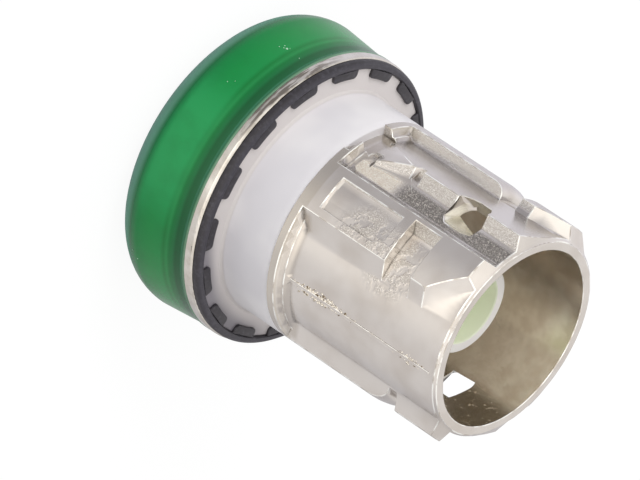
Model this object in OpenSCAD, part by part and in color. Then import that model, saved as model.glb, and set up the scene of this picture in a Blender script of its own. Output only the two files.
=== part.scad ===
// Pilot light head for a round panel hole, standing on its lens.
// The seat plane of the gasket is at height zero, the lens lies below it and
// the collar rises above it along the vertical axis.

/* [Panel] */
// Diameter of the round hole in the panel
panel_hole_d = 22.3; // [22:0.1:23]
// Gap all round between the hole and the neck
hole_gap = 0.1; // [0.05:0.05:0.4]

/* [Lens] */
// How far the thin lip at the rear of the lens stands out from the trim ring
lip_proud = 0.02; // [0:0.01:0.2]
// How far the lens side is set back from that lip
lip_step = 0.17; // [0.05:0.01:0.3]
// How far the lens side flares out towards the rounded front edge
lens_flare = 0.52; // [0.2:0.02:1]
// Height of the lip
lens_lip_h = 0.4; // [0.2:0.1:0.8]
// Height of the lens
lens_h = 9.25; // [8.6:0.1:11]
// Radius of the rounded front edge
lens_edge = 3.6; // [2.5:0.1:4.2]
// Thickness of the front face
lens_face = 1.75; // [1.2:0.1:2.2]
// Width of the ledge that holds the diffuser down
lens_ledge = 0.8; // [0.4:0.1:1.2]
// Rounding in the inner corner of the front face
lens_inner_r = 1.5; // [0.8:0.1:2]
// How far the snap bead stands out of the mouth wall
bead_out = 0.4; // [0.2:0.05:0.5]
// Height of the snap bead
bead_h = 0.6; // [0.4:0.05:0.8]
// Distance of the snap bead from the front end of the boss
bead_up = 1.1; // [0.9:0.1:1.4]

/* [Diffuser] */
// Thickness of the diffuser disc
diffuser_t = 1.2; // [0.8:0.1:1.6]
// Gap round the diffuser disc
diffuser_gap = 0.15; // [0.05:0.05:0.3]

/* [Trim ring] */
// How far the ring stands out from the gasket
ring_proud = 0.15; // [0.05:0.05:0.4]
// Thickness of the inner web of the ring
ring_web_t = 0.4; // [0.3:0.05:0.6]
// Radius of the rounded rear edge of the ring
ring_edge = 0.3; // [0.1:0.05:0.4]
// Gap between the ring and the flange or the boss inside it
ring_gap = 0.1; // [0.05:0.05:0.2]

/* [Gasket] */
// Width of the gasket band round the flange
gasket_wall = 0.7; // [0.5:0.05:1]
// Thickness of the gasket
gasket_t = 0.75; // [0.6:0.05:1.1]
// Chamfer round the outer edge of the gasket
gasket_edge = 0.25; // [0.1:0.05:0.3]
// Thickness of the teeth lying on the flange
tooth_t = 0.3; // [0.2:0.05:0.4]
// Number of teeth round the gasket
tooth_count = 16; // [12:1:20]
// Width of a tooth in degrees
tooth_deg = 14.6; // [10:0.2:16]
// Radius the teeth reach in to
tooth_r = 12.6; // [12.2:0.1:13]
// Turn of the first tooth from the middle plane of the windows, in degrees
tooth_turn = 14.1; // [0:0.1:22]

/* [Carrier] */
// How far the flange stands out from the boss
flange_step = 1.1; // [0.9:0.05:1.4]
// Thickness of the flange
flange_t = 1; // [0.8:0.1:1.4]
// Bevel between the flange and the neck
neck_fillet = 0.3; // [0.1:0.05:0.6]
// Length of the neck behind the gasket seat
neck_len = 5.25; // [4.8:0.05:7]
// Length of the shoulder that eases the neck in towards the collar
shoulder_len = 0.8; // [0.7:0.05:1.2]
// How far the shoulder eases in
shoulder_in = 0.2; // [0.1:0.05:0.3]
// Wall of the neck
neck_wall = 1.35; // [1:0.05:1.8]
// How far the boss that the lens snaps on stands out from the neck
boss_step = 1.35; // [1.2:0.05:1.6]
// Gap between the boss and the lens mouth
boss_gap = 0.2; // [0.1:0.05:0.3]
// Height of the boss in front of the flange
boss_h = 4.1; // [4:0.1:4.6]
// Wall of the boss
boss_wall = 1.5; // [1.3:0.1:2]
// Thickness of the floor that carries the light tube
floor_t = 1.2; // [0.8:0.1:2]
// Length of the spigot pressed into the collar
spigot_len = 3; // [2:0.1:4]
// Wall of the spigot
spigot_wall = 1.1; // [0.8:0.1:1.5]
// Wall of the light tube
tube_wall = 1; // [0.8:0.05:1.3]
// Bore radius of the light tube
tube_bore_r = 3.36; // [3:0.05:3.6]
// Distance from the rim of the collar down to the end of the light tube
tube_sunk = 5.3; // [4:0.1:7]

/* [Lens seal] */
// Thickness of the round seal between the boss and the lens
seal_d = 1; // [0.8:0.05:1.2]
// Height of the seal above the front face of the trim ring
seal_up = 1.2; // [1:0.05:1.4]
// Play between the seal and each side of its groove
seal_play = 0.05; // [0.02:0.01:0.1]

/* [Collar] */
// Length of the collar
collar_len = 19.5; // [18.5:0.1:22]
// How far the raised parts stand out from the plain tube
raised_h = 1.2; // [1:0.05:1.4]
// Wall of the plain tube
collar_wall = 1.1; // [0.9:0.05:1.3]
// Width of the lip at the front of the collar
lip_w = 0.85; // [0.6:0.05:1.2]
// Height of the low step behind the lip
lip_step_h = 0.5; // [0.3:0.05:0.7]
// Width of the low step behind the lip
lip_step_w = 0.5; // [0.3:0.05:0.8]
// Chamfer round the rim
rim_edge = 0.25; // [0.1:0.05:0.35]
// Length of the slope that ends the raised parts at the rim
rim_lead = 0.6; // [0.4:0.05:0.9]
// Height of the mould seam left on both sides of the tube
seam_h = 0.08; // [0.04:0.01:0.15]
// Width of the mould seam
seam_w = 0.3; // [0.2:0.05:0.5]

/* [Collar pads] */
// Distance of a pad from the middle plane, at its top edge
pad_in = 4.8; // [4.6:0.05:5.2]
// Width of a pad
pad_w = 3.83; // [3.5:0.01:4]
// Lean of the pad wall along the channel, in degrees
pad_lean = 49; // [40:1:52]
// Distance of the rear end of a pad from the front of the collar
pad_len = 10.85; // [10:0.05:11.2]
// Depth of the shallow pocket in a pad
pocket_d = 0.25; // [0.15:0.05:0.4]
// Distance of the pocket from the channel edge of the pad
pocket_in = 0.8; // [0.5:0.05:1]
// Distance of the pocket from the outer wall of the pad
pocket_out = 0.5; // [0.3:0.05:0.8]
// Distance of the pocket from the front of the collar
pocket_z = 2.4; // [2:0.1:3]
// Distance of the pocket from the rear end of the pad
pocket_end = 1.15; // [0.8:0.05:2]
// Cut across one corner of the pocket
pocket_corner = 1; // [0.5:0.1:1.5]
// Thickness of the rail between a pad and its lock block
rail_t = 0.4; // [0.3:0.05:0.6]

/* [Lock blocks] */
// Length of the rail from the pad to the lock block
rail_len = 3.1; // [2.7:0.05:3.6]
// Length of the straight outer wall of the block
block_straight = 1.75; // [1.2:0.05:2.2]
// How far the slanting wall of the block runs back towards the channel
block_slant = 2.05; // [1.4:0.05:2.6]

/* [Ribs and lugs] */
// Distance of the rib from the middle plane, at its top edge
rib_in = 4.8; // [4.6:0.05:5.2]
// Width of the rib
rib_w = 3.35; // [3:0.05:3.7]
// Lean of the rib wall, in degrees
rib_lean = 44; // [38:1:48]
// Distance of the end of the full rib from the front of the collar
rib_len = 10.8; // [10:0.1:11.2]
// Length of the rounded end of the rib on the first side
rib_end_len = 1.5; // [1.2:0.1:2.6]
// Length of the rounded end of the rib on the second side
far_rib_end_len = 2.4; // [1.2:0.1:2.6]
// Distance of the rim lug from the front of the collar
lug_z = 14.15; // [13.8:0.05:14.8]
// Length of the straight wall of the lug
lug_straight = 1.5; // [1:0.1:2]
// How far the slanting wall of the lug runs out on the first side
lug_slant = 2.2; // [1.8:0.1:3.2]
// How far the slanting wall of the lug runs out on the second side
far_lug_slant = 3; // [1.8:0.1:3.2]

/* [Channel] */
// Distance of the raised land from the middle plane, at its top edge
land_edge = 0.63; // [0.4:0.05:0.8]
// Turn of the flat top of the land, in degrees
land_turn = 21.7; // [20:0.1:24]
// Lean of the land wall, in degrees
land_lean = 35; // [30:1:40]
// Length of the ramp at the front of the land
land_ramp = 6.8; // [6:0.1:8]
// Start of the wedge in the channel
wedge_z = 2.7; // [2.3:0.1:3.2]
// Length of the wedge
wedge_len = 3.5; // [3:0.1:3.8]
// How far the wedge reaches into the channel at its front
wedge_w = 0.65; // [0.4:0.05:0.9]
// Length of the dip between the wedge and the first tooth of the land
dip_len = 1.05; // [0.8:0.05:1.3]
// Depth of that dip
dip_w = 0.7; // [0.5:0.05:1]
// Run of the short slope into the dip
dip_front = 0.2; // [0.1:0.05:0.3]
// Run of the slope out of the dip
dip_rear = 0.3; // [0.2:0.05:0.4]
// How far in front of the wedge the slanting floor starts
slope_lead = 0.1; // [0.05:0.05:0.3]
// Distance of the outer edge of the slanting floor from the middle plane
slope_x = 2.75; // [2.4:0.05:3.1]
// Height of the slanting floor above the tube, at the foot of the wedge
slope_rise = 0.15; // [0.1:0.05:0.3]
// Distance of the notch in the lip from the middle plane, at its far end
notch_x = 3.3; // [2.8:0.1:3.6]
// Width of the notch along the lip
notch_w = 0.6; // [0.3:0.05:0.7]
// Half width of the gap in the lip
gap_x = 1.75; // [1.5:0.05:2]
// Depth left above the tube in the gap
gap_rise = 0.2; // [0.05:0.05:0.3]

/* [Latch windows] */
// Distance of the windows from the front of the collar
window_z = 11.5; // [11.3:0.05:11.7]
// Length of the windows
window_len = 3.6; // [3.2:0.05:3.8]
// Turn of the windows from the middle plane, in degrees
window_turn = 10; // [8:0.5:12]

/* [Hidden] */
$fn = 120;
over = 0.6;
neck_r = panel_hole_d / 2 - hole_gap;
boss_r = neck_r + boss_step;
flange_r = boss_r + flange_step;
gasket_r = flange_r + gasket_wall;
ring_r = gasket_r + ring_proud;
lens_lip_r = ring_r + lip_proud;
lens_back_r = lens_lip_r - lip_step;
lens_r = lens_back_r + lens_flare;
collar_r = neck_r - raised_h;
bore_r = collar_r - collar_wall;
tube_r = tube_bore_r + tube_wall;
ring_front = -tooth_t - flange_t - ring_web_t;
ring_t = -ring_front - gasket_t;
lens_front = ring_front - lens_h;
mouth_r = boss_r + boss_gap;
flange_back = -tooth_t;
flange_front = flange_back - flange_t;
boss_front = flange_front - boss_h;
mouth_top = boss_front - diffuser_t;
bead_z = boss_front + bead_up;
bead_groove = bead_out - boss_gap + ring_gap;
seal_r = mouth_r - seal_d / 2;
seal_z = ring_front - seal_up;
groove_half = seal_d / 2 + seal_play;
rim_z = neck_len + collar_len;
tube_end = rim_z - tube_sunk;
rim_r = collar_r - rim_edge;
raised_end = collar_len - rim_edge - rim_lead;
root_r = (bore_r + collar_r) / 2;
wall_reach = 2.2;
pad_out = pad_in + pad_w;
block_z = pad_len + rail_len;
rib_out = rib_in + rib_w;
pad_top_h = circle_h(neck_r, pad_in);
rib_top_h = circle_h(neck_r, rib_in);
rib_s = -rib_in * cos(rib_lean) + rib_top_h * sin(rib_lean);
land_over = 3;
land_h = (collar_r + land_edge * sin(land_turn)) / cos(land_turn);
land_s = land_edge * cos(land_lean) + land_h * sin(land_lean);
slope_foot_x = 1;
gap_r = collar_r + gap_rise;
window_end = window_z + window_len;
slice_t = 0.01;
slice_sunk = 0.05;
// Outlines of the windows as [distance round the tube, height], at three depths
window_top = [
    [-1.35, window_z - 0.1],
    [-0.8, window_z - 0.1],
    [-0.8, window_end - 0.1],
    [-1.5, window_end - 0.45],
    [-2.2, window_end - 1.3],
    [-1.95, window_z + 1]
];
window_floor = [
    [-1.75, window_z],
    [0.7, window_z],
    [1.35, window_z + 0.55],
    [1.5, window_end - 1.2],
    [1.1, window_end - 0.1],
    [-0.2, window_end],
    [-1.7, window_end - 1]
];
first_hole = [
    [-2, window_z + 0.2],
    [-1.07, window_z + 0.25],
    [-0.2, window_end - 0.5],
    [-2.9, window_end - 0.5],
    [-2.95, window_z + 0.45],
    [-2.6, window_z + 0.25]
];
second_hole = [
    [-2.95, window_z + 0.7],
    [0.15, window_z + 0.7],
    [0.35, window_end - 0.55],
    [-0.3, window_end - 0.4],
    [-2.95, window_end - 0.5]
];

// Point in the cross section, x across the middle plane and h away from the axis
function pt(x, h) = [x, -h];

// Point moved from (x, h) by t along a wall that leans by the given angle
function lean_pt(x, h, angle, t) = pt(x + t * sin(angle), h + t * cos(angle));

// Height of a point on a circle above the middle of it
function circle_h(r, x) = sqrt(max(r * r - x * x, 0));

// Outline drawn in the plan of one side and pushed outwards through the wall
module plan_prism(points, angle) {
    rotate([0, 0, angle])
        rotate([90, 0, 0])
            linear_extrude(height = neck_r + over)
                polygon(points);
}

// Green cap with a rounded front edge, a ledge and a snap bead inside
module lens() {
    color([0.1, 0.55, 0.25])
        rotate_extrude()
            difference() {
                union() {
                    translate([lens_r - lens_edge, lens_front + lens_edge])
                        intersection() {
                            circle(r = lens_edge);
                            translate([0, -lens_edge])
                                square(lens_edge);
                        }
                    translate([0, lens_front])
                        square([lens_r - lens_edge, lens_edge]);
                    polygon([
                        [0, lens_front + lens_edge],
                        [lens_r, lens_front + lens_edge],
                        [lens_back_r, ring_front - lens_lip_h],
                        [lens_lip_r, ring_front - lens_lip_h],
                        [lens_lip_r, ring_front],
                        [0, ring_front]
                    ]);
                }
                lens_cavity();
            }
}

// Half section of the hollow inside the lens
module lens_cavity() {
    cavity_r = mouth_r - lens_ledge;
    cavity_front = lens_front + lens_face;
    round_z = cavity_front + lens_inner_r;
    translate([0, mouth_top - over])
        square([cavity_r, over * 2]);
    translate([0, round_z])
        square([cavity_r, mouth_top - round_z]);
    translate([0, cavity_front])
        square([cavity_r - lens_inner_r, lens_inner_r * 2]);
    translate([cavity_r - lens_inner_r, round_z])
        circle(r = lens_inner_r);
    difference() {
        translate([0, mouth_top])
            square([mouth_r, ring_front - mouth_top + over]);
        bead_section(mouth_r, bead_out);
    }
}

// Section of the snap bead or of its groove, pointing in from radius r
module bead_section(r, depth) {
    polygon([
        [r + over, bead_z - bead_h / 2 - over],
        [r, bead_z - bead_h / 2],
        [r - depth, bead_z],
        [r, bead_z + bead_h / 2],
        [r + over, bead_z + bead_h / 2 + over]
    ]);
}

// Milky disc between the boss of the carrier and the ledge of the lens
module diffuser() {
    color([0.92, 0.92, 0.88])
        translate([0, 0, boss_front - diffuser_t])
            cylinder(r = mouth_r - diffuser_gap, h = diffuser_t);
}

// Round rubber seal in the groove of the boss
module lens_seal() {
    color([0.15, 0.15, 0.16])
        rotate_extrude()
            translate([seal_r, seal_z])
                circle(d = seal_d);
}

// Bright metal ring between the lens and the gasket
module trim_ring() {
    band_in = flange_r + ring_gap;
    web_in = mouth_r;
    color([0.75, 0.74, 0.7])
        rotate_extrude() {
            translate([band_in, ring_front])
                square([ring_r - band_in, ring_t - ring_edge]);
            translate([band_in, ring_front])
                square([ring_r - band_in - ring_edge, ring_t]);
            translate([ring_r - ring_edge, ring_front + ring_t - ring_edge])
                circle(r = ring_edge);
            translate([web_in, ring_front])
                square([band_in - web_in + ring_edge, ring_web_t]);
        }
}

// Rubber gasket with a band round the flange and teeth hooked over it
module gasket() {
    color([0.18, 0.18, 0.2]) {
        rotate_extrude()
            polygon([
                [flange_r, -gasket_t],
                [gasket_r, -gasket_t],
                [gasket_r, -gasket_edge],
                [gasket_r - gasket_edge, 0],
                [flange_r, 0]
            ]);
        for (i = [0 : tooth_count - 1])
            rotate([0, 0, tooth_turn + i * 360 / tooth_count])
                gasket_tooth();
    }
}

// One tooth of the gasket, pointing inwards
module gasket_tooth() {
    tooth_root = (gasket_r - gasket_edge - flange_r) / 2;
    rotate([0, 0, -90 - tooth_deg / 2])
        translate([0, 0, -tooth_t])
            rotate_extrude(angle = tooth_deg)
                translate([tooth_r, 0])
                    square([flange_r - tooth_r + tooth_root, tooth_t]);
}

// Milky carrier with the flange, the neck, the spigot and the light tube
module carrier() {
    neck_in = neck_r - neck_wall;
    boss_in = boss_r - boss_wall;
    spigot_in = bore_r - spigot_wall;
    floor_front = neck_len - floor_t;
    color([0.93, 0.92, 0.93])
        rotate_extrude()
            difference() {
                polygon([
                    [boss_in, boss_front],
                    [boss_r, boss_front],
                    [boss_r, flange_front],
                    [flange_r, flange_front],
                    [flange_r, flange_back],
                    [neck_r + neck_fillet, flange_back],
                    [neck_r, flange_back + neck_fillet],
                    [neck_r, neck_len - shoulder_len],
                    [neck_r - shoulder_in, neck_len],
                    [bore_r, neck_len],
                    [bore_r, neck_len + spigot_len],
                    [spigot_in, neck_len + spigot_len],
                    [spigot_in, neck_len],
                    [tube_r, neck_len],
                    [tube_r, tube_end],
                    [tube_bore_r, tube_end],
                    [tube_bore_r, floor_front],
                    [neck_in, floor_front],
                    [neck_in, flange_back],
                    [boss_in, flange_front - neck_fillet]
                ]);
                translate([seal_r - seal_d / 2, seal_z - groove_half])
                    square([seal_d, groove_half * 2]);
                bead_section(boss_r, bead_groove);
            }
}

// Die-cast collar, built in its own height and lifted onto the neck
module collar() {
    color([0.76, 0.73, 0.69])
        translate([0, 0, neck_len])
            difference() {
                intersection() {
                    union() {
                        collar_tube();
                        collar_side(rib_end_len, lug_slant);
                        rotate([0, 0, 180])
                            collar_side(far_rib_end_len, far_lug_slant);
                    }
                    collar_envelope();
                }
                translate([0, 0, -over])
                    cylinder(r = bore_r, h = collar_len + over * 2);
                collar_cuts(first_hole);
                rotate([0, 0, 180])
                    collar_cuts(second_hole);
            }
}

// Plain tube with the front lip and the low step behind it
module collar_tube() {
    step_z = lip_w + lip_step_w;
    rotate_extrude()
        polygon([
            [bore_r - over, 0],
            [neck_r, 0],
            [neck_r, lip_w],
            [collar_r + lip_step_h, lip_w + lip_step_w / 2],
            [collar_r + lip_step_h, step_z],
            [collar_r, step_z + lip_step_w],
            [collar_r, collar_len - rim_edge],
            [rim_r, collar_len],
            [bore_r - over, collar_len]
        ]);
}

// Outermost form that trims every raised part
module collar_envelope() {
    rotate_extrude()
        polygon([
            [0, 0],
            [neck_r, 0],
            [neck_r, raised_end],
            [collar_r, collar_len - rim_edge],
            [rim_r, collar_len],
            [0, collar_len]
        ]);
}

// Everything raised on one side of the tube
module collar_side(end_len, slant) {
    linear_extrude(height = pad_len)
        raised_section(pad_in, pad_top_h, pad_lean, pad_out);
    linear_extrude(height = block_z + over)
        raised_section(pad_in, pad_top_h, pad_lean, pad_in + rail_t);
    lock_block();
    intersection() {
        linear_extrude(height = rib_len + end_len)
            rib_section();
        rib_form(end_len);
    }
    rim_lug(slant);
    land();
    slanting_floor();
    mould_seam();
}

// Cross section of a raised part, with a leaning wall and an upright outer wall
module raised_section(edge_x, edge_h, lean, outer_x) {
    intersection() {
        circle(r = neck_r);
        polygon([
            lean_pt(edge_x, edge_h, lean, -wall_reach),
            lean_pt(edge_x, edge_h, lean, wall_reach),
            pt(outer_x, neck_r + over),
            pt(outer_x, circle_h(root_r, outer_x))
        ]);
    }
}

// Cross section of the rib and of the rim lug in line with it
module rib_section() {
    raised_section(-rib_in, rib_top_h, -rib_lean, -rib_out);
}

// Block behind the pad, with a straight and a slanting outer wall
module lock_block() {
    slant_end = pad_out - block_slant;
    intersection() {
        linear_extrude(height = collar_len)
            raised_section(pad_in, pad_top_h, pad_lean, pad_out);
        plan_prism([
            [0, block_z],
            [pad_out + over, block_z],
            [pad_out + over, block_z + block_straight],
            [pad_out, block_z + block_straight],
            [slant_end, raised_end],
            [slant_end - rim_lead, collar_len],
            [0, collar_len]
        ], 0);
    }
}

// Form that lets the rib run out in a rounded end
module rib_form(end_len) {
    rounded_end = [
        for (a = [0 : 15 : 90])
            [collar_r + raised_h * cos(a), rib_len + end_len * sin(a)]
    ];
    rotate_extrude()
        polygon(concat(
            [[0, 0], [neck_r, 0]],
            rounded_end,
            [[0, rib_len + end_len]]
        ));
}

// Lug at the rim in line with the rib, with a straight and a slanting wall
module rim_lug(slant) {
    intersection() {
        linear_extrude(height = collar_len)
            rib_section();
        plan_prism([
            [-neck_r, lug_z],
            [rib_s, lug_z],
            [rib_s, lug_z + lug_straight],
            [rib_s - slant, collar_len],
            [-neck_r, collar_len]
        ], -rib_lean);
    }
}

// Raised land with a flat top and a front ramp, its wall cut into wedge and teeth
module land() {
    flat_x = -collar_r * sin(land_turn);
    far_x = land_edge + land_over;
    dip_z = wedge_z + wedge_len;
    intersection() {
        linear_extrude(height = collar_len)
            polygon([
                pt(flat_x, root_r * cos(land_turn)),
                pt(flat_x, collar_r * cos(land_turn)),
                pt(far_x, (collar_r + far_x * sin(land_turn)) / cos(land_turn)),
                pt(far_x, circle_h(root_r, far_x))
            ]);
        union() {
            cylinder(r1 = collar_r, r2 = neck_r, h = land_ramp);
            translate([0, 0, land_ramp])
                cylinder(r = neck_r, h = collar_len - land_ramp);
        }
        plan_prism([
            [-land_over, 0],
            [land_s, 0],
            [land_s, wedge_z],
            [land_s + wedge_w, wedge_z],
            [land_s, dip_z],
            [land_s - dip_w, dip_z + dip_front],
            [land_s - dip_w, dip_z + dip_len - dip_rear],
            [land_s, dip_z + dip_len],
            [land_s, collar_len],
            [-land_over, collar_len]
        ], -land_lean);
    }
}

// Slanting floor at the foot of the wedge, ending in a slant of its own
module slanting_floor() {
    floor_z = wedge_z - slope_lead;
    wedge_end = wedge_z + wedge_len;
    intersection() {
        linear_extrude(height = collar_len)
            polygon([
                pt(slope_x, circle_h(root_r, slope_x)),
                pt(slope_x, circle_h(collar_r, slope_x)),
                pt(slope_foot_x, circle_h(collar_r + slope_rise, slope_foot_x)),
                pt(0, root_r)
            ]);
        plan_prism([
            [0, floor_z],
            [slope_x, floor_z],
            [slope_x, wedge_end + slope_x - slope_foot_x],
            [slope_foot_x, wedge_end],
            [0, wedge_end]
        ], 0);
    }
}

// Seam left where the two halves of the mould met
module mould_seam() {
    seam_root = collar_r - root_r;
    translate([root_r, -seam_w / 2, lip_w])
        cube([seam_root + seam_h, seam_w, raised_end - lip_w]);
}

// Everything cut into one side of the collar
module collar_cuts(hole) {
    pocket();
    lip_gap();
    latch_window(hole);
}

// Shallow pocket in the top of the pad
module pocket() {
    x0 = pad_in + pocket_in;
    x1 = pad_out - pocket_out;
    z1 = pad_len - pocket_end;
    intersection() {
        rotate_extrude()
            polygon([
                [neck_r - pocket_d, pocket_z + pocket_d],
                [neck_r + over, pocket_z - over],
                [neck_r + over, z1],
                [neck_r - pocket_d, z1]
            ]);
        plan_prism([
            [x0, pocket_z - over],
            [x1, pocket_z - over],
            [x1, z1 - pocket_corner],
            [x1 - pocket_corner / 2, z1],
            [x0, z1]
        ], 0);
    }
}

// Gap in the front lip where the land begins, and the notch beside it
module lip_gap() {
    gap_len = lip_w + lip_step_w * 2;
    notch_h = circle_h(neck_r, notch_x);
    difference() {
        translate([-gap_x, -neck_r - over, -over])
            cube([gap_x * 2, neck_r - gap_r + over * 2, gap_len + over]);
        translate([0, 0, -over * 2])
            cylinder(r = gap_r, h = gap_len + over * 3);
    }
    translate([0, 0, -over])
        linear_extrude(height = notch_w + over)
            polygon([
                pt(gap_x - rim_edge, gap_r),
                pt(notch_x, notch_h),
                pt(notch_x, neck_r + over),
                pt(gap_x - rim_edge, neck_r + over)
            ]);
}

// Latch window, scooped from the land and the channel down to a hole in the bore
module latch_window(hole) {
    hole_h = bore_r - slice_sunk;
    rotate([0, 0, window_turn]) {
        hull() {
            window_slice(hole, hole_h);
            window_slice(window_floor, collar_r - slice_sunk);
            window_slice(window_top, neck_r);
        }
        translate([0, -hole_h + over * 2, 0])
            rotate([90, 0, 0])
                linear_extrude(height = over * 2 + slice_t)
                    polygon(hole);
    }
}

// Thin slice of the window at height h above the axis
module window_slice(points, h) {
    translate([0, -h, 0])
        rotate([90, 0, 0])
            linear_extrude(height = slice_t)
                polygon(points);
}

lens();
diffuser();
lens_seal();
trim_ring();
gasket();
carrier();
collar();
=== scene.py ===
import math
import random

import bmesh
import bpy
from mathutils import Matrix, Vector


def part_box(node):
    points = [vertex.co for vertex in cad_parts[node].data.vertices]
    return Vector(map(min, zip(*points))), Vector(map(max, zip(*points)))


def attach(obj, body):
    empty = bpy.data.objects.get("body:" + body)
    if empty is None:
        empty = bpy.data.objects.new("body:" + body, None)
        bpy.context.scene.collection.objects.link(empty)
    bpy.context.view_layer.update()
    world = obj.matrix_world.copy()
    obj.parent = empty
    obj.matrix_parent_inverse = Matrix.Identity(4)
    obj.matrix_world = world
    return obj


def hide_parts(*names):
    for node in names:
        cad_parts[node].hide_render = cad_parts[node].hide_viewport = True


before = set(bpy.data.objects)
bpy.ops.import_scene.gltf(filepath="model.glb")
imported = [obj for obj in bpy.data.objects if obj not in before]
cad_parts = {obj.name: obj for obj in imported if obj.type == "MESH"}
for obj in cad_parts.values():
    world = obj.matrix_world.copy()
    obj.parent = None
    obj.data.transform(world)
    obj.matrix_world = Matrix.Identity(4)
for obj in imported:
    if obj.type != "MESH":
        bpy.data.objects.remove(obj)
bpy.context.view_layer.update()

# The camera stands where the photograph was taken from: a long lens, well above the
# open collar, rolled so that the head seems to lie on its side.
MM = 0.001
scene = bpy.context.scene
scene.view_settings.view_transform = "Standard"
camera = bpy.data.objects.new("camera", bpy.data.cameras.new("camera"))
scene.collection.objects.link(camera)
camera.data.sensor_width = 36
camera.data.lens = 393.75
camera.data.clip_start = 0.05
camera.data.clip_end = 20
camera_place = Vector((392.719, -349.910, 330.236)) * MM
camera_right = Vector((-0.699652, -0.122602, 0.703887))
camera_down = Vector((0.334589, 0.814245, 0.474400))
camera_ahead = Vector((-0.631299, 0.567427, -0.528666))
camera_turn = Matrix((camera_right, -camera_down, -camera_ahead)).transposed().to_4x4()
camera.matrix_world = Matrix.Translation(camera_place) @ camera_turn
scene.camera = camera


# The floor is a plain white sheet just under the lens. It keeps a faint shadow of the
# head, and mirrored rays pass through it to the light tent below.
def linear(hex_colour):
    """An sRGB hex colour as linear red, green, blue and alpha."""
    parts = [int(hex_colour[i : i + 2], 16) / 255 for i in (1, 3, 5)]
    return tuple(c / 12.92 if c <= 0.04045 else ((c + 0.055) / 1.055) ** 2.4 for c in parts) + (1.0,)


def add(tree, kind, inputs=None, **settings):
    """Adds a node, sets it up, and fills or links its inputs. A node gives its first output."""
    made = tree.nodes.new(kind)
    for key, value in settings.items():
        setattr(made, key, value)
    for key, value in (inputs or {}).items():
        if isinstance(value, bpy.types.Node):
            value = value.outputs[0]
        if isinstance(value, bpy.types.NodeSocket):
            tree.links.new(value, made.inputs[key])
        else:
            made.inputs[key].default_value = value
    return made


def new_material(name):
    """An empty node material and its tree."""
    made = bpy.data.materials.new(name)
    made.use_nodes = True
    made.node_tree.nodes.clear()
    return made, made.node_tree


def either(tree, *masks):
    """The strongest of the masks."""
    strongest = masks[0]
    for mask in masks[1:]:
        strongest = add(tree, "ShaderNodeMath", {0: strongest, 1: mask}, operation="MAXIMUM")
    return strongest


floor_half = 1500 * MM
floor_gap = 0.02 * MM
floor_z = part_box("lens")[0].z - floor_gap
floor_corners = [
    (-floor_half, -floor_half, floor_z),
    (floor_half, -floor_half, floor_z),
    (floor_half, floor_half, floor_z),
    (-floor_half, floor_half, floor_z),
]
floor_mesh = bpy.data.meshes.new("floor")
floor_mesh.from_pydata(floor_corners, [], [(0, 1, 2, 3)])
floor = bpy.data.objects.new("floor", floor_mesh)
scene.collection.objects.link(floor)

# Paper looks evenly white, and only the closest shadow shows on it. Seen from below, or
# in a mirror or through glass, it isn't there.
white_paper, tree = new_material("white paper, rolled out")
ray = add(tree, "ShaderNodeLightPath").outputs
lit = add(tree, "ShaderNodeBsdfDiffuse", {"Color": (0.8, 0.8, 0.8, 1)})
shadowed = add(tree, "ShaderNodeBsdfDiffuse", {"Color": (0.12, 0.12, 0.12, 1)})
white = add(tree, "ShaderNodeEmission", {"Color": (1, 1, 1, 1), "Strength": 0.92})
seen = add(tree, "ShaderNodeAddShader", {0: shadowed, 1: white})
direct = add(tree, "ShaderNodeMixShader", {0: ray["Is Camera Ray"], 1: lit, 2: seen})
open_below = add(tree, "ShaderNodeBsdfTransparent")
from_below = add(tree, "ShaderNodeNewGeometry").outputs["Backfacing"]
through = either(tree, ray["Is Glossy Ray"], ray["Is Transmission Ray"], from_below)
paper = add(tree, "ShaderNodeMixShader", {0: through, 1: direct, 2: open_below})
add(tree, "ShaderNodeOutputMaterial", {"Surface": paper})
floor_mesh.materials.append(white_paper)


# The room is an evenly lit white tent. What shines sees softer and brighter parts of it:
# three softboxes low at the sides, a pale ceiling behind, and a wide window above.
def heading(turn, rise):
    """The direction turned from the front of the object and raised, both in degrees."""
    a, e = math.radians(turn), math.radians(rise)
    return Vector((math.sin(a) * math.cos(e), -math.cos(a) * math.cos(e), math.sin(e)))


def toward(tree, arrow, direction):
    """How far an arrow goes in a direction."""
    made = add(tree, "ShaderNodeVectorMath", {0: arrow, 1: direction}, operation="DOT_PRODUCT")
    return made.outputs["Value"]


def fade(tree, value, start, end, low=0.0, high=1.0):
    """Goes smoothly from low at start to high at end."""
    if start > end:
        start, end, low, high = end, start, high, low
    ends = {"From Min": start, "From Max": end, "To Min": low, "To Max": high}
    return add(tree, "ShaderNodeMapRange", {"Value": value, **ends}, interpolation_type="SMOOTHSTEP")


tent_colour = "#FAF7FB"
tent_level = 0.6
softboxes = (
    ("right softbox", heading(62, 0), 55, 0.5, "#FFF8EA"),
    ("left softbox", heading(-75, -15), 62, 0.32, "#EEEDFF"),
    ("far softbox", heading(125, -20), 65, 0.26, "#FFFAF0"),
    ("pale ceiling", heading(-120, 45), 70, 0.36, "#FFFAEE"),
    ("window above", heading(65, 52), 85, 0.72, "#FFFAF0"),
)
world = bpy.data.worlds.new("light tent")
scene.world = world
world.use_nodes = True
tree = world.node_tree
tree.nodes.clear()
ray = add(tree, "ShaderNodeLightPath").outputs
way = add(tree, "ShaderNodeTexCoord").outputs["Generated"]
glow = Vector(linear(tent_colour)[:3]) * tent_level
for name, direction, half_width, strength, colour in softboxes:
    edge = math.cos(math.radians(half_width))
    share = fade(tree, toward(tree, way, direction), edge, 1.0, 0.0, strength)
    lit = add(
        tree, "ShaderNodeVectorMath", {0: linear(colour)[:3], "Scale": share}, operation="SCALE", label=name
    )
    glow = add(tree, "ShaderNodeVectorMath", {0: glow, 1: lit}, operation="ADD")
shiny = add(tree, "ShaderNodeBackground", {"Color": glow, "Strength": 1.0})

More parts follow.
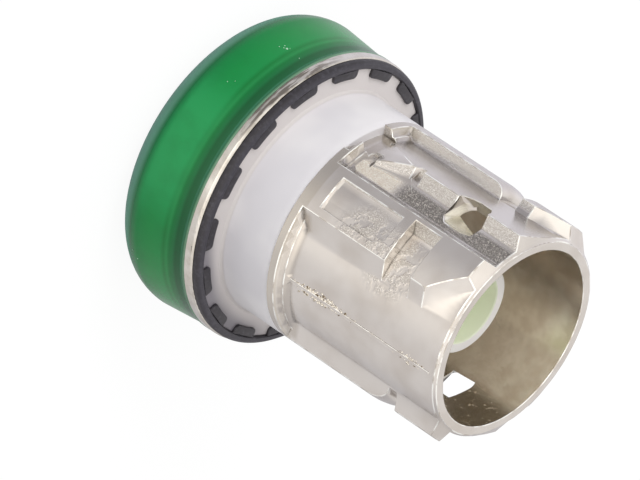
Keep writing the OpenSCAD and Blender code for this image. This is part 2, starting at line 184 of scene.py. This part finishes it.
# What is matt gets its light from the front, and less from behind on the right.
away = toward(tree, way, heading(150, 25))
dimmer = add(
    tree,
    "ShaderNodeMapRange",
    {"Value": away, "From Min": -0.3, "From Max": 1.0, "To Min": 0.82, "To Max": 0.46},
)
soft = add(tree, "ShaderNodeBackground", {"Color": (1, 1, 1, 1), "Strength": dimmer})
backdrop = add(tree, "ShaderNodeBackground", {"Color": (1, 1, 1, 1), "Strength": 1.0})
around = add(tree, "ShaderNodeMixShader", {0: ray["Is Glossy Ray"], 1: soft, 2: shiny})
straight = either(tree, ray["Is Camera Ray"], ray["Is Transmission Ray"])
room = add(tree, "ShaderNodeMixShader", {0: straight, 1: around, 2: backdrop})
add(tree, "ShaderNodeOutputWorld", {"Surface": room})

# A very soft lamp from the front and above, and a weaker one from the right, give the
# matt parts their roundness. Neither shows as a spot in what shines.
lamps = (
    ("soft lamp", heading(2, 28), 0.95, 30),
    ("side fill", heading(92, 6), 0.5, 60),
)
for name, direction, strength, width in lamps:
    lamp = bpy.data.objects.new(name, bpy.data.lights.new(name, "SUN"))
    lamp.data.energy = strength
    lamp.data.angle = math.radians(width)
    lamp.rotation_euler = direction.to_track_quat("Z", "Y").to_euler()
    lamp.visible_glossy = False
    scene.collection.objects.link(lamp)


# The lens is a cap of green polycarbonate, moulded in one piece and snapped over the
# carrier. Its thick front corner looks grey at the rim, its inner edges show as bands.
def millimetres(tree):
    """The place on the piece in millimetres."""
    place = add(tree, "ShaderNodeTexCoord").outputs["Object"]
    return add(tree, "ShaderNodeVectorMath", {0: place, "Scale": 1 / MM}, operation="SCALE")


def off_axis(tree, place):
    """The arrow from the axis of the head straight out to the place, and its length."""
    arrow = add(tree, "ShaderNodeVectorMath", {0: place, 1: (1, 1, 0)}, operation="MULTIPLY")
    return arrow, add(tree, "ShaderNodeVectorMath", {0: arrow}, operation="LENGTH").outputs["Value"]


def both(tree, *masks):
    """All the masks at once, as their product. A number weakens them."""
    product = masks[0]
    for mask in masks[1:]:
        product = add(tree, "ShaderNodeMath", {0: product, 1: mask}, operation="MULTIPLY")
    return product


def grain(tree, place, per_mm, detail, stretch=(1, 1, 1)):
    """Uneven spots from 0 to 1, about per_mm of them to the millimetre."""
    spread = add(tree, "ShaderNodeVectorMath", {0: place, 1: stretch}, operation="MULTIPLY")
    return add(
        tree, "ShaderNodeTexNoise", {"Vector": spread, "Scale": per_mm, "Detail": detail, "Roughness": 0.55}
    )


def blend(tree, mask, first, second):
    """Goes from the first colour to the second, each a hex value or an output."""
    first, second = (linear(c) if isinstance(c, str) else c for c in (first, second))
    return add(tree, "ShaderNodeMix", {0: mask, 6: first, 7: second}, data_type="RGBA").outputs[2]


def bands(tree, value, stops):
    """Colours along a value, given as (value, hex colour) in rising order."""
    low, high = stops[0][0], stops[-1][0]
    share = add(tree, "ShaderNodeMapRange", {"Value": value, "From Min": low, "From Max": high})
    ramp = add(tree, "ShaderNodeValToRGB", {0: share})
    marks = ramp.color_ramp.elements
    marks[0].color, marks[1].color = linear(stops[0][1]), linear(stops[-1][1])
    for stop, colour in stops[1:-1]:
        marks.new((stop - low) / (high - low)).color = linear(colour)
    return ramp


def rounded_copy(node, name, width, sharp=25):
    """A copy of a CAD node's mesh, its sharp outer edges rounded as far as there is room."""
    merge_gap = 0.0005 * MM
    flat_within = math.radians(1.2)
    most_of_room = 0.45
    same_way = 0.9
    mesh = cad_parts[node].data.copy()
    mesh.name = name
    form = bmesh.new()
    form.from_mesh(mesh)
    bmesh.ops.remove_doubles(form, verts=form.verts, dist=merge_gap)
    bmesh.ops.dissolve_limit(form, angle_limit=flat_within, verts=form.verts, edges=form.edges)
    weight = form.edges.layers.float.new("bevel_weight_edge")
    for edge in form.edges:
        if not edge.is_manifold or edge.calc_face_angle() < math.radians(sharp):
            continue
        if not edge.is_convex:
            continue
        along = (edge.verts[1].co - edge.verts[0].co).normalized()
        room = [edge.calc_length()]
        for end in edge.verts:
            for other in end.link_edges:
                run = (other.verts[1].co - other.verts[0].co).normalized()
                if other is not edge and abs(run.dot(along)) < same_way:
                    room.append(other.calc_length())
        edge[weight] = min(1.0, most_of_room * min(room) / width)
    form.to_mesh(mesh)
    form.free()
    mesh.shade_smooth()
    mesh.set_sharp_from_angle(angle=math.radians(sharp))
    made = bpy.data.objects.new(name, mesh)
    scene.collection.objects.link(made)
    bevel = made.modifiers.new("rounded edges", "BEVEL")
    bevel.width = width
    bevel.segments = 2
    bevel.limit_method = "WEIGHT"
    bevel.use_clamp_overlap = False
    evened = made.modifiers.new("even normals", "WEIGHTED_NORMAL")
    evened.keep_sharp = True
    return made


def place_on(piece, node, material, edges=None, replaces=True):
    """Gives a piece its material and slot and puts it on the body of its CAD node."""
    piece.data.materials.clear()
    piece.data.materials.append(material)
    if edges:
        piece.data.materials.append(edges)
        piece.modifiers["rounded edges"].material = 1
    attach(piece, "root")
    if replaces:
        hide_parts(node)


lens_low, lens_high = (end.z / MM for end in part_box("lens"))
# Wall colours by height: a grey painted reflection at the front, painted bands at the inner edges.
wall_tones_and_painted_light = (
    (0.0, "#466F60"),
    (1.0, "#68978A"),
    (2.1, "#5C937C"),
    (2.7, "#0A6B3C"),
    (3.4, "#0A8040"),
    (4.8, "#0B8941"),
    (6.3, "#128D46"),
    (6.7, "#0A7B38"),
    (7.05, "#1D8A47"),
    (7.35, "#0A7437"),
    (7.75, "#156F3C"),
    (8.05, "#10592F"),
    (8.6, "#1A5F38"),
    (8.85, "#46896A"),
    (9.0, "#2A6745"),
)
back_tone = "#7FA488"

# The plastic is deep green. Its wall is painted in bands along the height: a grey painted
# reflection on the front corner, painted shade where the boss stands behind it, painted
# light and shade at the inner edges, and a broad painted highlight on one side. The shine is soft.
green, tree = new_material("green polycarbonate, moulded glossy")
place = millimetres(tree)
height = add(tree, "ShaderNodeSeparateXYZ", {0: place}).outputs["Z"]
arrow, radius = off_axis(tree, place)
stops = [(lens_low + above, tone) for above, tone in wall_tones_and_painted_light] + [(lens_high, back_tone)]
tone = bands(tree, height, stops)
# A broad painted highlight on one side of the wall.
painted_highlight_side = both(
    tree,
    fade(tree, toward(tree, place, heading(57, 0)), 12.4, 14.3),
    fade(tree, height, -8.4, -7.2),
    fade(tree, height, -3.4, -4.6),
)
tone = blend(tree, both(tree, painted_highlight_side, 0.7), tone, "#249F5A")
front = both(tree, fade(tree, height, lens_low + 0.5, lens_low + 0.1), fade(tree, radius, 13.2, 11.6))
tone = blend(tree, front, tone, "#0F8A45")
uneven = fade(tree, grain(tree, place, 0.3, 4.0), 0.45, 0.7)
tone = blend(tree, both(tree, uneven, 0.16), tone, "#05602B")
gloss = add(
    tree,
    "ShaderNodeBsdfPrincipled",
    {
        "Base Color": tone,
        "Roughness": fade(tree, height, lens_low + 2.0, lens_low + 3.0, 0.55, 0.22),
        "IOR": 1.5,
        "Specular IOR Level": 0.28,
    },
)
add(tree, "ShaderNodeOutputMaterial", {"Surface": gloss})
lens = rounded_copy("lens", "lens_cap", 0.1 * MM)
place_on(lens, "lens", green)


# The gate of the lens was broken off at its side, and handling left a few nicks. They
# are part of the same plastic, raised a few hundredths of a millimetre.
def add_burr(form, rng, radius, turn, height, size, flat=0.5, long=1.6):
    """Adds one small rough lump lying on a wall, sizes in mm and the turn in degrees."""
    a = math.radians(turn)
    lean = Matrix.Rotation(rng.uniform(-0.5, 0.5), 4, "X")
    lump = Matrix.Diagonal((size * flat, size, size * long, 1))
    at = Matrix.Rotation(a - math.pi / 2, 4, "Z") @ Matrix.Translation((radius, 0, height))
    set_down = Matrix.Scale(MM, 4) @ at @ lean @ lump
    bmesh.ops.create_icosphere(form, subdivisions=1, radius=1, matrix=set_down)


def finish_burrs(form, name, node, material):
    """Makes the collected lumps one piece of the node."""
    mesh = bpy.data.meshes.new(name)
    form.to_mesh(mesh)
    form.free()
    mesh.shade_smooth()
    made = bpy.data.objects.new(name, mesh)
    scene.collection.objects.link(made)
    place_on(made, node, material, replaces=False)


# The nicks are painted nearly white, a painted glint on each.
nick, tree = new_material("green polycarbonate, nicks with painted glint")
matt = add(tree, "ShaderNodeBsdfPrincipled", {"Base Color": linear("#C2EBD0"), "Roughness": 0.3})
add(tree, "ShaderNodeOutputMaterial", {"Surface": matt})

lens_back = 14.2
lens_back_height = -2.1
lens_widest = 14.72
lens_taper_length = 5.25
lens_marks = (
    (5.6, -5.35, 0.05),
    (4.8, -5.0, 0.06),
    (4.2, -4.75, 0.12),
    (3.7, -5.15, 0.06),
    (3.3, -4.6, 0.04),
    (4.2, -3.2, 0.05),
    (29.3, -5.8, 0.05),
    (27.5, -5.3, 0.04),
    (107.4, -7.35, 0.06),
    (104.5, -7.9, 0.04),
)
form = bmesh.new()
rng = random.Random(3)
for turn, height, size in lens_marks:
    widening = (lens_back_height - height) * (lens_widest - lens_back) / lens_taper_length
    wall = min(lens_widest, lens_back + widening)
    add_burr(form, rng, wall, turn, height, size, flat=0.4, long=1.2)
finish_burrs(form, "lens_nicks", "lens", nick)


# The diffuser is a plain disc cut from milky sheet, laid on the boss under the lens,
# which hides it. Milky polycarbonate gives the eye an even, slightly warm white.
milky, tree = new_material("milky polycarbonate, cut from sheet")
matt = add(tree, "ShaderNodeBsdfPrincipled", {"Base Color": linear("#E6E5DE"), "Roughness": 0.5})
add(tree, "ShaderNodeOutputMaterial", {"Surface": matt})
diffuser = rounded_copy("diffuser", "diffuser_disc", 0.1 * MM)
place_on(diffuser, "diffuser", milky)


# The lens seal is a ring of round rubber cord in a groove of the boss, hidden once the
# head is put together. It is matt and nearly black.
seal_rubber, tree = new_material("black rubber, round cord")
matt = add(tree, "ShaderNodeBsdfPrincipled", {"Base Color": linear("#2B2B2E"), "Roughness": 0.55})
add(tree, "ShaderNodeOutputMaterial", {"Surface": matt})
seal = rounded_copy("lens_seal", "seal_cord", 0.02 * MM, sharp=80)
place_on(seal, "lens_seal", seal_rubber)


# The trim ring is a thin band of plated metal with a rounded rear edge, held between
# the lens and the gasket. It was turned from brass and polished after plating.
def between(tree, mask, low, high):
    """Goes evenly from low to high as the mask goes from 0 to 1."""
    return add(tree, "ShaderNodeMath", {0: mask, 1: high - low, 2: low}, operation="MULTIPLY_ADD")


# Polished nickel shows the tent almost unblurred. Haze dulls it in patches, and on one
# side dark reflections are painted in thin streaks along the band.
plated, tree = new_material("nickel-plated brass, turned and polished")
place = millimetres(tree)
haze = fade(tree, grain(tree, place, 0.7, 3.0), 0.3, 0.75)
# Painted dark reflections, in streaks on one side of the band.
dark_reflection_side = fade(tree, toward(tree, place, heading(18, 0)), 12.6, 14.0)
streaks = fade(tree, grain(tree, place, 1.0, 3.0, stretch=(0.5, 0.5, 4.0)), 0.4, 0.55)
painted_dark_reflection = both(tree, dark_reflection_side, streaks, 0.75)
shine = add(
    tree,
    "ShaderNodeBsdfPrincipled",
    {
        "Base Color": blend(tree, painted_dark_reflection, blend(tree, haze, "#DFDCD5", "#CBC6BC"), "#6E6458"),
        "Metallic": 1.0,
        "Roughness": between(tree, haze, 0.12, 0.24),
    },
)
add(tree, "ShaderNodeOutputMaterial", {"Surface": shine})
trim_ring = rounded_copy("trim_ring", "trim_band", 0.06 * MM)
place_on(trim_ring, "trim_ring", plated)


# The gasket is moulded black rubber: a band stretched round the flange, with sixteen
# teeth that hook over the flange and lie a little lower than the band.
def spin(name, outline, steps):
    """Turns a closed outline of (radius, height) in mm round the vertical axis."""
    form = bmesh.new()
    rings = []
    for i in range(steps):
        a = 2 * math.pi * i / steps
        ring = [form.verts.new(Vector((r * math.cos(a), r * math.sin(a), z)) * MM) for r, z in outline]
        rings.append(ring)
    for i in range(steps):
        here, after = rings[i], rings[(i + 1) % steps]
        for j in range(len(outline)):
            k = (j + 1) % len(outline)
            form.faces.new((here[j], after[j], after[k], here[k]))
    bmesh.ops.recalc_face_normals(form, faces=form.faces)
    mesh = bpy.data.meshes.new(name)
    form.to_mesh(mesh)
    form.free()
    mesh.shade_smooth()
    mesh.set_sharp_from_angle(angle=math.radians(gasket_sharp))
    made = bpy.data.objects.new(name, mesh)
    scene.collection.objects.link(made)
    return made


gasket_low, gasket_high = (end.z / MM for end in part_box("gasket"))
gasket_sharp = 35
band_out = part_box("gasket")[1].x / MM
band_in = 13.5
band_edge = 0.25
band_round = 0.08
groove_in = 0.06
tooth_count = 16
tooth_turn = 14.1
tooth_in = 12.6
tooth_half = 1.62
tooth_corner = 0.42
tooth_low = -0.3
tooth_high = -0.04
tooth_round = 0.09
tooth_root = band_in + 0.05
corner_steps = 5

# Moulded rubber is dark and half matt. The faces that look up, the band more than the teeth,
# are painted a little bluer and lighter as a sheen, and talc lies on the rubber in faint spots.
rubber, tree = new_material("black rubber, moulded, dusty with talc")
place = millimetres(tree)
upright = add(tree, "ShaderNodeTexCoord").outputs["Normal"]
facing_up = add(tree, "ShaderNodeSeparateXYZ", {0: upright}).outputs["Z"]
from_centre = add(tree, "ShaderNodeVectorMath", {0: place}, operation="LENGTH").outputs["Value"]
on_band = fade(tree, from_centre, band_in - 0.1, band_in)
# Faces that look up are painted lighter and bluer, a painted sheen.
painted_sheen = both(tree, fade(tree, facing_up, 0.5, 0.95), between(tree, on_band, 0.3, 1.0))
dust = fade(tree, grain(tree, place, 2.2, 4.0), 0.45, 0.8)
skin = blend(tree, painted_sheen, "#29262B", "#38363F")
bumps = add(
    tree, "ShaderNodeBump", {"Height": grain(tree, place, 5.0, 2.0), "Strength": 0.25, "Distance": 0.03 * MM}
)
matt = add(
    tree,
    "ShaderNodeBsdfPrincipled",
    {"Base Color": blend(tree, both(tree, dust, 0.3), skin, "#6A6872"), "Roughness": 0.48, "Normal": bumps},
)
add(tree, "ShaderNodeOutputMaterial", {"Surface": matt})

gasket_band = spin(
    "gasket_band",
    (
        (band_in, gasket_low),
        (band_out - band_round, gasket_low),
        (band_out, gasket_low + band_round),
        (band_out, gasket_high - band_edge - band_round),
        (band_out - band_round / 2, gasket_high - band_edge),
        (band_out - band_edge, gasket_high - band_round / 4),
        (band_out - band_edge - band_round, gasket_high),
        (band_in + band_round, gasket_high),
        (band_in, gasket_high - band_round),
        (band_in - groove_in, gasket_high - 3 * band_round),
    ),
    240,
)
place_on(gasket_band, "gasket", rubber)

# One tooth, as seen from above: a tongue with rounded corners that points at the axis.
# Each point is (across, distance from the axis).
tongue = [(tooth_half, tooth_root)]
for side in (1, -1):
    for step in range(corner_steps + 1):
        a = math.pi / 2 * step / corner_steps
        bend = (math.cos(a), math.sin(a)) if side == 1 else (math.sin(a), math.cos(a))
        across = side * (tooth_half - tooth_corner + tooth_corner * bend[0])
        tongue.append((across, tooth_in + tooth_corner - tooth_corner * bend[1]))
    if side == 1:
        tongue += [(tooth_half * share, tooth_in) for share in (0.35, 0, -0.35)]
tongue.append((-tooth_half, tooth_root))
form = bmesh.new()
low_ring = []
for across, out in tongue:
    a = across / band_in
    low_ring.append(form.verts.new(Vector((out * math.sin(a), -out * math.cos(a), tooth_low)) * MM))
base = form.faces.new(low_ring)
raised = bmesh.ops.extrude_face_region(form, geom=[base])["geom"]
top_verts = [part for part in raised if isinstance(part, bmesh.types.BMVert)]
bmesh.ops.translate(form, verts=top_verts, vec=Vector((0, 0, (tooth_high - tooth_low) * MM)))
top_edges = [e for e in form.edges if all(v in top_verts for v in e.verts) and not e.is_wire]
bmesh.ops.recalc_face_normals(form, faces=form.faces)
bmesh.ops.bevel(form, geom=top_edges, offset=tooth_round * MM, segments=3, profile=0.5, affect="EDGES")
bmesh.ops.recalc_face_normals(form, faces=form.faces)
tooth_mesh = bpy.data.meshes.new("gasket_tooth")
form.to_mesh(tooth_mesh)
form.free()
tooth_mesh.shade_smooth()
tooth_mesh.set_sharp_from_angle(angle=math.radians(gasket_sharp))
teeth = bpy.data.objects.new("gasket_teeth", tooth_mesh)
scene.collection.objects.link(teeth)

# The tooth is repeated round the flange.
ring = bpy.data.node_groups.new("teeth round the flange", "GeometryNodeTree")
ring.interface.new_socket("Tooth", in_out="INPUT", socket_type="NodeSocketGeometry")
count_socket = ring.interface.new_socket("Count", in_out="INPUT", socket_type="NodeSocketInt")
turn_socket = ring.interface.new_socket("Turn", in_out="INPUT", socket_type="NodeSocketFloat")
ring.interface.new_socket("Teeth", in_out="OUTPUT", socket_type="NodeSocketGeometry")
given = add(ring, "NodeGroupInput").outputs
points = add(ring, "GeometryNodePoints", {"Count": given["Count"]})
number = add(ring, "GeometryNodeInputIndex")
share = add(ring, "ShaderNodeMath", {0: number, 1: given["Count"]}, operation="DIVIDE")
angle = add(ring, "ShaderNodeMath", {0: share, 1: 2 * math.pi, 2: given["Turn"]}, operation="MULTIPLY_ADD")
turned = add(ring, "ShaderNodeCombineXYZ", {"Z": angle})
copies = add(
    ring, "GeometryNodeInstanceOnPoints", {"Points": points, "Instance": given["Tooth"], "Rotation": turned}
)
real = add(ring, "GeometryNodeRealizeInstances", {0: copies})
painted = add(ring, "GeometryNodeSetMaterial", {"Geometry": real, "Material": rubber})
add(ring, "NodeGroupOutput", {"Teeth": painted})
pattern = teeth.modifiers.new("teeth", "NODES")
pattern.node_group = ring
pattern[count_socket.identifier] = tooth_count
pattern[turn_socket.identifier] = math.radians(tooth_turn)
finished = bpy.data.meshes.new_from_object(teeth.evaluated_get(bpy.context.evaluated_depsgraph_get()))
teeth.modifiers.clear()
teeth.data = finished
place_on(teeth, "gasket", rubber, replaces=False)


# The carrier is one moulding of milky white polycarbonate: boss, flange, neck, spigot
# and the light tube inside the collar. Everything else is fixed to it.
neck_out = 11.05
tube_bore = 3.36
tube_outside = 4.36

# Milky plastic is white with faint cool clouds and a satin shine. A grey painted shadow lies on
# the low side of the flange by the rubber, and the tube is painted pale green and glows, as painted light
# from the lens.
white_plastic, tree = new_material("milky polycarbonate, moulded satin")
place = millimetres(tree)
arrow, radius = off_axis(tree, place)
on_flange = fade(tree, radius, neck_out - 0.01, neck_out + 0.12)
# Inside the tube the plastic is painted pale green, and round it it glows: painted light from the lens.
painted_tube_light = fade(tree, radius, tube_bore + 0.15, tube_bore + 0.05)
painted_tube_glow = fade(tree, radius, tube_outside + 0.15, tube_outside + 0.05)
# A painted shadow, grey, on the low side of the flange near the rubber.
flange_shadow_side = fade(tree, toward(tree, place, heading(122, 0)), 8.8, 11.8)
painted_flange_shadow = both(tree, flange_shadow_side, fade(tree, radius, 11.1, 12.9), 0.85)
cloud = fade(tree, grain(tree, place, 0.16, 2.0), 0.35, 0.7)
tone = blend(tree, cloud, "#EEEBED", "#E3E0E4")
tone = blend(tree, on_flange, tone, "#E0DAD8")
tone = blend(tree, painted_flange_shadow, tone, "#7C7882")
tone = blend(tree, painted_tube_light, tone, "#E3E9D3")
satin = add(
    tree,
    "ShaderNodeBsdfPrincipled",
    {
        "Base Color": tone,
        "Roughness": 0.38,
        "IOR": 1.5,
        "Specular IOR Level": 0.4,
        "Emission Color": linear("#E2E6D0"),
        "Emission Strength": both(tree, painted_tube_glow, 0.14),
    },
)
add(tree, "ShaderNodeOutputMaterial", {"Surface": satin})
carrier = rounded_copy("carrier", "carrier_body", 0.12 * MM, sharp=35)
place_on(carrier, "carrier", white_plastic)


# The collar is die-cast zinc with a thin nickel plating, pressed onto the spigot. Where
# it touched the mould it is satin; walls and corners keep the grain of the casting.
def near(tree, place, spot, reach):
    """1 close to the spot, 0 from the distance reach on, in millimetres."""
    away = add(tree, "ShaderNodeVectorMath", {0: place, 1: spot}, operation="DISTANCE").outputs["Value"]
    return fade(tree, away, reach, 0.5 * reach)


tube_out = 9.85
bore = 8.75
lip_back = 6.5
groove_end = 7.5
scoop_centre = (1.4, -9.4, 18.5)
pad_corner = (7.9, -6.2, 16.4)
pad_foot = (7.8, -7.3, 12.6)

nickel, tree = new_material("nickel on die-cast zinc")
place = millimetres(tree)
height = add(tree, "ShaderNodeSeparateXYZ", {0: place}).outputs["Z"]
arrow, radius = off_axis(tree, place)
outwards = add(tree, "ShaderNodeVectorMath", {0: arrow}, operation="NORMALIZE")
upright = add(tree, "ShaderNodeTexCoord").outputs["Normal"]
radial = toward(tree, upright, outwards)
rise = add(tree, "ShaderNodeSeparateXYZ", {0: upright}).outputs["Z"]
tilt = add(tree, "ShaderNodeMath", {0: rise}, operation="ABSOLUTE")

# The casting repeats by a half turn, so its marks are laid out on one half. Across is
# the distance there from the middle of the pads.
side = add(tree, "ShaderNodeSeparateXYZ", {0: place}).outputs["Y"]
half = both(tree, add(tree, "ShaderNodeMath", {0: side}, operation="SIGN"), -1.0)
halves = add(tree, "ShaderNodeCombineXYZ", {"X": half, "Y": half, "Z": 1.0})
one_half = add(tree, "ShaderNodeVectorMath", {0: place, 1: halves}, operation="MULTIPLY")
across = add(tree, "ShaderNodeSeparateXYZ", {0: one_half}).outputs["X"]
off_middle = add(tree, "ShaderNodeMath", {0: across}, operation="ABSOLUTE")

# Masks: steep walls that left the mould rough, the bore, the rough strip beside the wide rib with its
# foot, painted bright as a highlight, the scooped windows, painted pale as a highlight, and frosty patches
# near the pocket.
steep = both(
    tree,
    fade(tree, radial, 0.93, 0.75),
    fade(tree, tilt, 0.45, 0.2),
    fade(tree, off_middle, 7.6, 6.6, 0.12, 1.0),
)
inside = both(tree, fade(tree, radial, -0.6, -0.9), fade(tree, radius, bore + 0.3, bore + 0.1))
on_top = fade(tree, radial, 0.9, 0.97)
in_channel = both(
    tree,
    fade(tree, across, 1.5, 2.2),
    fade(tree, across, 4.95, 4.5),
    fade(tree, radius, tube_out + 0.5, tube_out + 0.1),
    on_top,
)
strip = both(tree, in_channel, fade(tree, height, 11.0, 12.6))
foot = both(tree, in_channel, fade(tree, height, 12.0, 10.8))
sunk = fade(tree, radius, tube_out - 0.05, tube_out - 0.2)
scoop = both(tree, near(tree, one_half, scoop_centre, 3.2), sunk)
patches = either(tree, near(tree, one_half, pad_corner, 3.8), near(tree, one_half, pad_foot, 3.2))
painted_groove_shade = both(
    tree,
    fade(tree, height, lip_back - 0.5, lip_back - 0.2),
    fade(tree, height, groove_end, groove_end - 0.6),
    fade(tree, radius, 11.0, 10.6),
    fade(tree, radius, tube_out - 0.3, tube_out - 0.1),
)
lip = both(tree, fade(tree, radius, 10.7, 10.9), fade(tree, height, lip_back + 0.1, lip_back - 0.1))
stained = fade(tree, toward(tree, outwards, heading(160, 0)), 0.8, 0.93)
streak = both(
    tree, fade(tree, toward(tree, outwards, heading(-62, 0)), 0.93, 0.99), fade(tree, height, 19.5, 23.5)
)

# Grains: fine is the skin of the casting, coarse and stain are the clouds of the plating,
# speck and glint are painted glints, bright points, and grit is what stuck in the bore.
fine = grain(tree, place, 13.0, 3.0)
coarse = grain(tree, place, 0.8, 3.0)
frost = both(tree, patches, on_top, fade(tree, grain(tree, place, 1.1, 2.0), 0.42, 0.56))
stain = fade(tree, grain(tree, place, 0.25, 2.0), 0.35, 0.75)
painted_speck_glint = fade(tree, fine, 0.46, 0.6)
glint = fade(tree, grain(tree, place, 9.0, 4.0), 0.51, 0.6)
grit = fade(tree, grain(tree, place, 2.6, 4.0), 0.62, 0.66)

# Cast nickel gives the eye a warm grey metal that goes from blurred mirror to grain with painted
# glints, yellower in the bore, and painted darker in the corners and creases as shade.
tone = blend(tree, stain, "#DDD9D4", "#D0CAC3")
# Steep walls get painted glints; frosty patches and the strip get painted glints too.
tone = blend(tree, both(tree, steep, 0.85), tone, blend(tree, painted_speck_glint, "#C6C0B8", "#FFFEFA"))
tone = blend(tree, both(tree, frost, 0.8), tone, blend(tree, glint, "#CBC5BD", "#FBF8F0"))
# Painted shade in the groove behind the lip, and a darker painted reflection on the lip's outer side.
tone = blend(tree, both(tree, painted_groove_shade, 0.35), tone, "#9A8F80")
tone = blend(tree, both(tree, lip, 0.5), tone, "#BDB6A8")
tone = blend(tree, strip, tone, blend(tree, glint, "#8F8B86", "#E2DDD4"))
# The foot is painted bright cream with painted glints, a painted highlight.
tone = blend(tree, foot, tone, blend(tree, painted_speck_glint, "#E2D6C6", "#FFFCF2"))
# The scooped windows are painted nearly white, a painted highlight.
tone = blend(tree, scoop, tone, "#FAF7E8")
in_bore = blend(tree, fade(tree, coarse, 0.35, 0.65), "#E6D9C6", "#F4EAD9")
# The bore is darker and speckled on one side and in a streak near the rim.
dark = either(tree, both(tree, stained, 0.8), both(tree, streak, 0.4))
in_bore = blend(tree, dark, in_bore, blend(tree, grit, "#64563F", "#EADFCB"))
tone = blend(tree, inside, tone, in_bore)
# Painted shade: darker where the surface is closed in, in corners and creases, in patches.
shelter = add(tree, "ShaderNodeAmbientOcclusion", {"Distance": 0.45 * MM}, samples=8, only_local=True)
corners = fade(tree, shelter.outputs["AO"], 0.72, 0.4)
painted_corner_shade = both(tree, corners, fade(tree, coarse, 0.2, 0.6, 0.4, 1.0), 0.75)
tone = blend(tree, painted_corner_shade, tone, "#5E574E")

rough_zone = either(tree, steep, strip, frost, foot)
relief = both(tree, fine, between(tree, rough_zone, 0.1, 0.96))
bumps = add(tree, "ShaderNodeBump", {"Height": relief, "Strength": 0.95, "Distance": 0.07 * MM})
duller = between(tree, either(tree, inside, scoop), 1.0, 0.8)
rougher = between(tree, rough_zone, 0.2, 0.28)
shine = add(
    tree,
    "ShaderNodeBsdfPrincipled",
    {
        "Base Color": tone,
        "Metallic": add(tree, "ShaderNodeMath", {0: foot, 1: -0.5, 2: duller}, operation="MULTIPLY_ADD"),
        "Roughness": add(tree, "ShaderNodeMath", {0: inside, 1: -0.07, 2: rougher}, operation="MULTIPLY_ADD"),
        "Normal": bumps,
    },
)
add(tree, "ShaderNodeOutputMaterial", {"Surface": shine})

# The rounded edges are painted as bright highlights, thin lines that break off here
# and there.
edge_highlight, tree = new_material("nickel, painted highlight on the edges")
broken_highlight = fade(tree, grain(tree, millimetres(tree), 0.8, 5.0), 0.38, 0.58)
shine = add(
    tree,
    "ShaderNodeBsdfPrincipled",
    {"Base Color": blend(tree, broken_highlight, "#C3BBB1", "#FFFFFA"), "Metallic": 0.7, "Roughness": 0.2},
)
add(tree, "ShaderNodeOutputMaterial", {"Surface": shine})
collar = rounded_copy("collar", "collar_casting", 0.07 * MM)
place_on(collar, "collar", nickel, edges=edge_highlight)


# Where the halves of the mould met, both sides of the collar carry a torn flash of small
# zinc burrs, with one large and one small tear. A few more sit at the rim and in the bore.
# Torn zinc is painted with bright glints in patches, and is brown where the plating has worn off.
torn, tree = new_material("zinc flash, torn and stained")
painted_glint_patch = fade(tree, grain(tree, millimetres(tree), 3.5, 3.0), 0.4, 0.5)
shine = add(
    tree,
    "ShaderNodeBsdfPrincipled",
    {"Base Color": blend(tree, painted_glint_patch, "#7A664C", "#FFF8EA"), "Metallic": 0.6, "Roughness": 0.25},
)
add(tree, "ShaderNodeOutputMaterial", {"Surface": shine})

collar_front = 5.25
rim_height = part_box("collar")[1].z / MM
parting_lines = (90, -90)
flash_start = 1.6
flash_end = 18.4
large_tear = 5.2
small_tear = 16.2
burrs_a_side = 480
rim_burrs = 45
bore_grit = 60
form = bmesh.new()
rng = random.Random(11)
for side in parting_lines:
    for _ in range(burrs_a_side):
        anywhere = rng.uniform(flash_start, flash_end)
        at_large = [rng.gauss(large_tear, 2.0), rng.gauss(large_tear, 2.0)]
        at_small = rng.gauss(small_tear, 0.9)
        along = rng.choice((anywhere, *at_large, at_small))
        along = min(max(along, flash_start), flash_end)
        swell = math.exp(-(((along - large_tear) / 3) ** 2))
        swell += 0.45 * math.exp(-(((along - small_tear) / 1.3) ** 2))
        size = rng.uniform(0.03, 0.07) + 0.09 * swell * rng.random()
        off = rng.gauss(0, 0.6 + 1.1 * swell)
        add_burr(form, rng, tube_out, side + off, collar_front + along, size)
for _ in range(rim_burrs):
    below_rim = rng.uniform(0.14, 0.28)
    turn = rng.uniform(48, 84)
    add_burr(form, rng, tube_out - 0.12, turn, rim_height - below_rim, rng.uniform(0.03, 0.07))
for _ in range(bore_grit):
    turn = rng.gauss(135, 16)
    below_rim = rng.uniform(1.5, 6)
    add_burr(form, rng, bore, turn, rim_height - below_rim, rng.uniform(0.02, 0.05), long=1)
finish_burrs(form, "collar_flash", "collar", torn)
